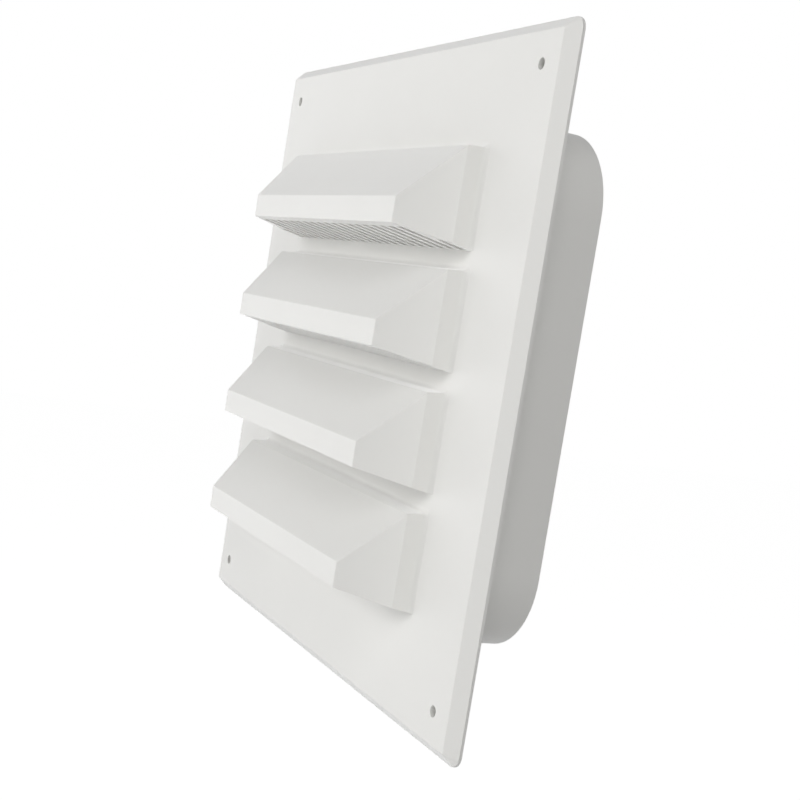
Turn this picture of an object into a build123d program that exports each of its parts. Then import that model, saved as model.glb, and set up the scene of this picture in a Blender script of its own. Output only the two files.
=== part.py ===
from build123d import *
import os

os.makedirs("parts", exist_ok=True)

# A wall vent moulded in one piece: a square bevelled faceplate, hipped hoods one above the other,
# a grille of slots under each hood, and a duct collar behind.
# The origin is the centre of the wall plane. The front faces -Y, +Z is up, and +X is to the right
# of someone who faces the vent.

# Driving dimensions, in millimetres: faceplate
plate_side = 305.0
plate_wall = 2.4
rim_edge = 1.3
rim_land = 2.4
bevel_height = 5.1
bevel_width = 5.2
face_corner_radius = 0.8
bevel_round = 0.5

# Screw holes, and the bosses that carry them to the wall
hole_diameter = 5.0
hole_inset = 18.7
boss_diameter = 11.0

# Hoods
hood_count = 4
hood_pitch = 52.8
hood_middle = -0.55
hood_width = 201.5
hood_height = 43.4
hood_ledge = 9.4
ledge_fall = 0.9
hood_projection = 32.8
hood_fall = 25.7
hood_wall = 2.5
cheek_taper = 13.45
lip_height = 11.3
hood_edge_round = 0.7
hood_root_round = 2.2

# Slots in the underside of each hood, running from front to back
slot_count = 21
slot_share = 0.49
slot_end_margin = 4.45
slot_front_margin = 5.1
slot_side_margin = 2.5

# Duct collar behind the faceplate
collar_side = 235.0
collar_depth = 44.5
collar_corner_radius = 38.0
collar_wall = 2.5

# Distances in front of the wall plane
face = rim_edge + bevel_height
plate_back = face - plate_wall
ledge_front = face + hood_ledge
lip_front = face + hood_projection

# Heights on one hood, from halfway between the foot of its root and the front of its ledge.
# The middle of the stack of hoods lies hood_middle above the middle of the faceplate.
hood_top = hood_height / 2
hood_foot = -hood_height / 2
lip_top = hood_top - hood_fall
lip_bottom = lip_top - lip_height

# Leans of the hood's sides, as rise or taper for each millimetre forward
ledge_slope = ledge_fall / hood_ledge
underside_slope = (lip_bottom - hood_foot) / hood_projection
cheek_lean = cheek_taper / (hood_projection - hood_ledge)


def side_profile(root):
    """Corners (y, z) of a hood's side, whose root is that far in front of the wall plane."""
    return [
        (-root, hood_top + ledge_slope * (ledge_front - root)),
        (-ledge_front, hood_top),
        (-lip_front, lip_top),
        (-lip_front, lip_bottom),
        (-root, lip_bottom - underside_slope * (lip_front - root)),
    ]


def plan_outline(root):
    """Corners (x, y) of a hood seen from above, whose root is that far in front of the wall plane."""
    half_root = hood_width / 2
    half_lip = half_root - cheek_taper
    return [
        (-half_root, -root),
        (-half_root, -ledge_front),
        (-half_lip, -lip_front),
        (half_lip, -lip_front),
        (half_root, -ledge_front),
        (half_root, -root),
    ]


# One hood as a block: its side profile crossed with its plan outline, rooted inside the faceplate
with BuildPart() as hood:
    with BuildSketch(Plane.YZ):
        with BuildLine():
            Polyline(*side_profile(plate_back), close=True)
        make_face()
    extrude(amount=hood_width / 2, both=True)
    with BuildSketch(Plane.XY):
        with BuildLine():
            Polyline(*plan_outline(plate_back), close=True)
        make_face()
    extrude(amount=hood_height, both=True, mode=Mode.INTERSECT)
    buried_edges = hood.faces().sort_by(Axis.Y)[-1].edges()
    underside_edges = hood.faces().sort_by(Axis.Z)[0].edges()
    fillet(hood.edges() - buried_edges - underside_edges, radius=hood_edge_round)

# The space inside one hood, carried back through the faceplate to the wall plane
with BuildPart() as cavity:
    with BuildSketch(Plane.YZ):
        with BuildLine():
            Polyline(*side_profile(-hood_wall), close=True)
        make_face()
        offset(amount=-hood_wall, kind=Kind.INTERSECTION, mode=Mode.REPLACE)
    extrude(amount=hood_width / 2, both=True)
    with BuildSketch(Plane.XY):
        with BuildLine():
            Polyline(*plan_outline(-hood_wall), close=True)
        make_face()
        offset(amount=-hood_wall, kind=Kind.INTERSECTION, mode=Mode.REPLACE)
    extrude(amount=hood_height, both=True, mode=Mode.INTERSECT)

# The slots of one hood, from the face forward, cut through its underside into the space inside.
# They spread over the width of the hood, and stop short of the lip or of the leaning cheek.
slot_pitch = (hood_width - 2 * slot_end_margin) / (slot_count - 1 + slot_share)
slot_width = slot_share * slot_pitch
slot_start = hood_foot - hood_wall
slot_top = lip_bottom + lip_height / 2
with BuildPart() as slots:
    with BuildSketch(Plane.XY.offset(slot_start)):
        for index in range(slot_count):
            slot_place = slot_pitch * (index - (slot_count - 1) / 2)
            cheek_room = hood_width / 2 - slot_side_margin - abs(slot_place) - slot_width / 2
            slot_length = min(hood_projection - slot_front_margin, hood_ledge + cheek_room / cheek_lean)
            with Locations((slot_place, -face - slot_length / 2)):
                Rectangle(slot_width, slot_length)
    extrude(amount=slot_top - slot_start)

# Places and sizes on the faceplate
hood_lowest = hood_middle - hood_pitch * (hood_count - 1) / 2
hood_places = [(0, 0, hood_lowest + hood_pitch * index) for index in range(hood_count)]
hole_spacing = plate_side - 2 * hole_inset
face_side = plate_side - 2 * bevel_width
rim_radius = face_corner_radius + bevel_width
pocket_side = plate_side - 2 * rim_land
pocket_floor_side = pocket_side - 2 * plate_back * bevel_width / bevel_height
collar_bore_side = collar_side - 2 * collar_wall
collar_bore_radius = collar_corner_radius - collar_wall

with BuildPart() as vent_grille:
    # Faceplate: a thin upright edge, then the bevelled border up to the face
    with BuildSketch(Plane.XZ):
        RectangleRounded(plate_side, plate_side, rim_radius)
    extrude(amount=rim_edge)
    with BuildSketch(Plane.XZ.offset(rim_edge)):
        RectangleRounded(plate_side, plate_side, rim_radius)
    with BuildSketch(Plane.XZ.offset(face)):
        RectangleRounded(face_side, face_side, face_corner_radius)
    loft(ruled=True)
    fillet(vent_grille.faces().sort_by(Axis.Y)[0].edges(), radius=bevel_round)

    # Hollow behind the faceplate, with sides that follow the bevel
    with BuildSketch(Plane.XZ):
        RectangleRounded(pocket_side, pocket_side, rim_radius)
    with BuildSketch(Plane.XZ.offset(plate_back)):
        RectangleRounded(pocket_floor_side, pocket_floor_side, rim_radius)
    loft(ruled=True, mode=Mode.SUBTRACT)

    # Hoods, which grow out of the face with a hollow round along their tops and sides
    with Locations(*hood_places):
        add(hood.part)
    level_faces = vent_grille.faces().filter_by_position(Axis.Y, -face - bevel_round, -face + bevel_round)
    hood_roots = level_faces.sort_by(SortBy.AREA)[-1].inner_wires()
    round_edges = [edge for root in hood_roots for edge in root.edges().sort_by(Axis.Z)[1:]]
    fillet(round_edges, radius=hood_root_round)

    # Duct collar and screw bosses, grown from the back of the faceplate
    with BuildSketch(Plane.XZ.offset(plate_back)):
        RectangleRounded(collar_side, collar_side, collar_corner_radius)
        RectangleRounded(collar_bore_side, collar_bore_side, collar_bore_radius, mode=Mode.SUBTRACT)
    extrude(amount=-plate_back - collar_depth)
    with BuildSketch(Plane.XZ.offset(plate_back)):
        with GridLocations(hole_spacing, hole_spacing, 2, 2):
            Circle(boss_diameter / 2)
    extrude(amount=-plate_back)

    # Openings: the spaces inside the hoods, their slots and the screw holes
    with Locations(*hood_places):
        add(cavity.part, mode=Mode.SUBTRACT)
        add(slots.part, mode=Mode.SUBTRACT)
    with BuildSketch(Plane.XZ):
        with GridLocations(hole_spacing, hole_spacing, 2, 2):
            Circle(hole_diameter / 2)
    extrude(amount=face, mode=Mode.SUBTRACT)

vent_grille.part.label = "vent_grille"
export_step(vent_grille.part, "parts/vent_grille.step")
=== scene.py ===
import math

import bpy
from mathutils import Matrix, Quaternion, Vector

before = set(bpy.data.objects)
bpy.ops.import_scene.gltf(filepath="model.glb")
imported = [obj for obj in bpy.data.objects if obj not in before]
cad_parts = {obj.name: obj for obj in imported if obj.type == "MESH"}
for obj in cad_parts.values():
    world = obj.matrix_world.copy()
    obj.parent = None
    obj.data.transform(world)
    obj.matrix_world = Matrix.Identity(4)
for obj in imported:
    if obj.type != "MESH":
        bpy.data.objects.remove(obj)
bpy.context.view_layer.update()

# Camera, solved from the photograph's straight edges: metres, degrees and millimetres of lens
camera_position = Vector((0.63126, -0.28788, 0.03169))
camera_target = Vector((0.01711, 0.01270, -0.01655))
camera_roll = 9.282
camera_lens = 63.196
view_axis = Vector((0.0, 0.0, 1.0))

# Plastic: two near whites that drift into each other, its gloss and its sheen
white_pale = (0.768, 0.764, 0.741, 1.0)
white_deep = (0.753, 0.749, 0.726, 1.0)
gloss_low = 0.34
gloss_high = 0.42
plastic_ior = 1.45
plastic_specular = 0.1
sheen_weight = 1.0
sheen_roughness = 0.4

# Noise that varies the plastic, as scale per metre, detail and roughness
tint_noise = (14.0, 3.0, 0.55)
gloss_noise = (45.0, 4.0, 0.6)
grain_noise = (1100.0, 2.0, 0.5)
wave_noise = (28.0, 1.0, 0.4)

# The part of the gloss noise's range that is spread from gloss_low to gloss_high
gloss_noise_low = 0.3
gloss_noise_high = 0.7

# Relief in the shading, as strength and height in metres
grain_relief = (0.1, 0.00001)
wave_relief = (0.1, 0.0003)

# Studio: lamps as name, place, side in metres and power in watts
lamps = [
    ("front_left_lamp", (-0.9, -2.2, 0.1), 1.2, 12.8),
    ("key_lamp", (0.0, -2.3, 0.75), 0.9, 22.0),
    ("top_lamp", (0.0, -0.8, 2.1), 1.4, 2.4),
    ("low_left_lamp", (-1.1, -1.1, -1.4), 1.4, 7.0),
    ("low_right_lamp", (1.1, -1.1, -1.4), 1.4, 7.6),
    ("left_lamp", (-2.0, -1.2, 0.0), 1.4, 9.6),
    ("right_lamp", (2.3, -0.4, 0.0), 1.4, 10.2),
    ("right_high_lamp", (1.9, -0.7, 1.2), 1.2, 17.0),
    ("high_back_lamp", (0.4, 1.3, 2.0), 1.6, 7.5),
    ("back_lamp", (-0.8, 2.2, -0.1), 1.6, 13.0),
]
lamp_target = Vector((0.0, 0.0, 0.0))

# World and floor: the floor's glow is what makes it look white
background_white = (1.0, 1.0, 1.0, 1.0)
ambient_strength = 0.02
floor_height = -2.2
floor_side = 40.0
floor_colour = (0.8, 0.8, 0.8, 1.0)
floor_glow = 0.98


def seen_directly(tree):
    """A socket that is 1 for camera, glossy and transmission rays and 0 for the rest."""
    path = tree.nodes.new("ShaderNodeLightPath")
    first = tree.nodes.new("ShaderNodeMath")
    first.operation = "ADD"
    tree.links.new(path.outputs["Is Camera Ray"], first.inputs[0])
    tree.links.new(path.outputs["Is Glossy Ray"], first.inputs[1])
    both = tree.nodes.new("ShaderNodeMath")
    both.operation = "ADD"
    both.use_clamp = True
    tree.links.new(first.outputs[0], both.inputs[0])
    tree.links.new(path.outputs["Is Transmission Ray"], both.inputs[1])
    return both.outputs[0]


def noise(tree, scale, detail, roughness):
    """The value socket of a noise texture in the part's own metres."""
    place = tree.nodes.new("ShaderNodeTexCoord")
    texture = tree.nodes.new("ShaderNodeTexNoise")
    texture.inputs["Scale"].default_value = scale
    texture.inputs["Detail"].default_value = detail
    texture.inputs["Roughness"].default_value = roughness
    tree.links.new(place.outputs["Object"], texture.inputs["Vector"])
    return texture.outputs["Fac"]


def relief(tree, height, strength, distance):
    """A bump node that follows a height socket."""
    bump = tree.nodes.new("ShaderNodeBump")
    bump.inputs["Strength"].default_value = strength
    bump.inputs["Distance"].default_value = distance
    tree.links.new(height, bump.inputs["Height"])
    return bump


def moulded_plastic():
    """White satin plastic: cloudy tint, uneven gloss, and a fine grain over a slow waviness."""
    material = bpy.data.materials.new("moulded_plastic")
    material.use_nodes = True
    tree = material.node_tree
    shader = tree.nodes["Principled BSDF"]
    shader.inputs["IOR"].default_value = plastic_ior
    shader.inputs["Specular IOR Level"].default_value = plastic_specular
    shader.inputs["Sheen Weight"].default_value = sheen_weight
    shader.inputs["Sheen Roughness"].default_value = sheen_roughness

    tint = tree.nodes.new("ShaderNodeMix")
    tint.data_type = "RGBA"
    tint.inputs["A"].default_value = white_deep
    tint.inputs["B"].default_value = white_pale
    tree.links.new(noise(tree, *tint_noise), tint.inputs["Factor"])
    tree.links.new(tint.outputs["Result"], shader.inputs["Base Color"])

    gloss = tree.nodes.new("ShaderNodeMapRange")
    gloss.inputs["From Min"].default_value = gloss_noise_low
    gloss.inputs["From Max"].default_value = gloss_noise_high
    gloss.inputs["To Min"].default_value = gloss_low
    gloss.inputs["To Max"].default_value = gloss_high
    tree.links.new(noise(tree, *gloss_noise), gloss.inputs["Value"])
    tree.links.new(gloss.outputs["Result"], shader.inputs["Roughness"])

    grain = relief(tree, noise(tree, *grain_noise), *grain_relief)
    waves = relief(tree, noise(tree, *wave_noise), *wave_relief)
    tree.links.new(waves.outputs["Normal"], grain.inputs["Normal"])
    tree.links.new(grain.outputs["Normal"], shader.inputs["Normal"])
    return material


def floor_material():
    """A pale matt floor that looks white to the camera and still takes the part's shadow."""
    material = bpy.data.materials.new("studio_floor")
    material.use_nodes = True
    tree = material.node_tree
    tree.nodes.clear()
    matt = tree.nodes.new("ShaderNodeBsdfDiffuse")
    matt.inputs["Color"].default_value = floor_colour
    glow = tree.nodes.new("ShaderNodeEmission")
    level = tree.nodes.new("ShaderNodeMath")
    level.operation = "MULTIPLY"
    level.inputs[1].default_value = floor_glow
    tree.links.new(seen_directly(tree), level.inputs[0])
    tree.links.new(level.outputs[0], glow.inputs["Strength"])
    both = tree.nodes.new("ShaderNodeAddShader")
    tree.links.new(matt.outputs[0], both.inputs[0])
    tree.links.new(glow.outputs[0], both.inputs[1])
    output = tree.nodes.new("ShaderNodeOutputMaterial")
    tree.links.new(both.outputs[0], output.inputs["Surface"])
    return material


def add_floor():
    """The studio floor, well below the part, because the part hangs on a wall."""
    half = floor_side / 2
    corners = [(-half, -half), (half, -half), (half, half), (-half, half)]
    mesh = bpy.data.meshes.new("studio_floor")
    mesh.from_pydata([(x, y, floor_height) for x, y in corners], [], [(0, 1, 2, 3)])
    mesh.materials.append(floor_material())
    floor = bpy.data.objects.new("studio_floor", mesh)
    bpy.context.scene.collection.objects.link(floor)


def add_world():
    """Faint even light from all round, and a white background."""
    world = bpy.data.worlds.new("studio")
    world.use_nodes = True
    tree = world.node_tree
    tree.nodes.clear()
    ambient = tree.nodes.new("ShaderNodeBackground")
    ambient.inputs["Color"].default_value = background_white
    ambient.inputs["Strength"].default_value = ambient_strength
    white = tree.nodes.new("ShaderNodeBackground")
    white.inputs["Color"].default_value = background_white
    mix = tree.nodes.new("ShaderNodeMixShader")
    tree.links.new(seen_directly(tree), mix.inputs["Fac"])
    tree.links.new(ambient.outputs[0], mix.inputs[1])
    tree.links.new(white.outputs[0], mix.inputs[2])
    output = tree.nodes.new("ShaderNodeOutputWorld")
    tree.links.new(mix.outputs[0], output.inputs["Surface"])
    bpy.context.scene.world = world


def add_lamp(name, place, side, power):
    """A square soft lamp that faces the part."""
    data = bpy.data.lights.new(name, "AREA")
    data.shape = "SQUARE"
    data.size = side
    data.energy = power
    lamp = bpy.data.objects.new(name, data)
    lamp.location = place
    lamp.rotation_mode = "QUATERNION"
    lamp.rotation_quaternion = (lamp_target - lamp.location).to_track_quat("-Z", "Y")
    bpy.context.scene.collection.objects.link(lamp)


def add_camera():
    """The camera, at the photograph's place and roll."""
    data = bpy.data.cameras.new("camera")
    data.lens = camera_lens
    camera = bpy.data.objects.new("camera", data)
    camera.location = camera_position
    camera.rotation_mode = "QUATERNION"
    level = (camera_target - camera_position).to_track_quat("-Z", "Y")
    roll = Quaternion(view_axis, math.radians(camera_roll))
    camera.rotation_quaternion = level @ roll
    bpy.context.scene.collection.objects.link(camera)
    bpy.context.scene.camera = camera


add_camera()
add_world()
add_floor()
for lamp_row in lamps:
    add_lamp(*lamp_row)
bpy.context.scene.view_settings.view_transform = "Standard"

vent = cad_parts["vent_grille"]
vent.data.materials.clear()
vent.data.materials.append(moulded_plastic())
